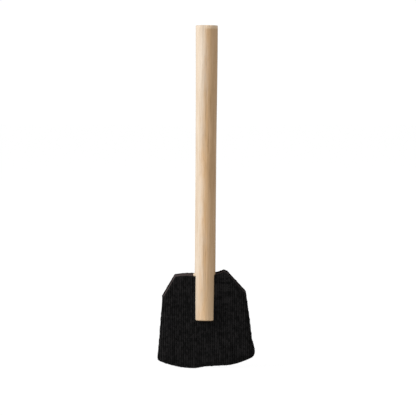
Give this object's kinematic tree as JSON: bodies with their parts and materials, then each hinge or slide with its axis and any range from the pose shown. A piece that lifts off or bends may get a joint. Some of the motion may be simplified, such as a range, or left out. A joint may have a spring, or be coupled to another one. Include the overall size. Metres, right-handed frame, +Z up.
{
  "type": "foam sponge brush",
  "caption": "Small disposable foam sponge brush: a black cloth-faced foam pad, cut to a flared blade, glued round the lower end of a thin round wooden handle.",
  "frame": {"origin": "middle of the base of the whole brush's box, just under the pad's working edge", "axes": "+Z up along the handle, +X across the pad to the right as seen from its slotted face, +Y from the slotted face to the plain back"},
  "size_m": [0.0178, 0.0052, 0.062],
  "materials": {
    "dowel_wood": "matte",
    "knitted_cloth": "matte",
    "sponge_foam": "matte",
    "cured_glue": "satin"
  },
  "bodies": {
    "root": {"handle_dowel": "dowel_wood", "front_cloth": "knitted_cloth", "foam_core": "sponge_foam", "back_cloth": "knitted_cloth", "glue_bed": "cured_glue"}
  },
  "joints": []
}
